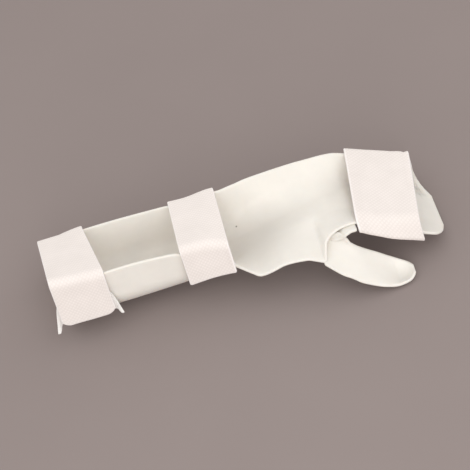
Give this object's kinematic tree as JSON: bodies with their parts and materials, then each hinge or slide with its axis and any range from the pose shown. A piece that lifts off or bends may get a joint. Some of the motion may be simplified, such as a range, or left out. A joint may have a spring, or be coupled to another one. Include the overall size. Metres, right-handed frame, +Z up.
{
  "type": "resting hand splint",
  "caption": "Left-hand resting splint: a moulded white sheet carries the forearm, palm, fingers and thumb, and padded straps close it over hook tabs.",
  "frame": {"origin": "bottom centre of the bounding box, as the splint rests on a table", "axes": "+X from the forearm end to the fingertips, +Y to the little finger's side, +Z up"},
  "size_m": [0.4218, 0.1578, 0.0774],
  "materials": {
    "moulded_sheet": "smooth low-temperature thermoplastic, warm white, soft sheen",
    "strap_padding": "foam-backed loop fabric, pinkish white, fine diagonal lattice",
    "hook_tab": "adhesive-backed hook strip, warm white"
  },
  "bodies": {
    "root": {"splint_shell": "moulded_sheet", "forearm_strap": "strap_padding", "wrist_strap": "strap_padding", "finger_strap": "strap_padding", "forearm_near_tab": "hook_tab", "forearm_far_tab": "hook_tab", "wrist_far_tab": "hook_tab", "wrist_near_tab": "hook_tab", "finger_far_tab": "hook_tab", "finger_under_tab": "hook_tab"}
  },
  "joints": []
}
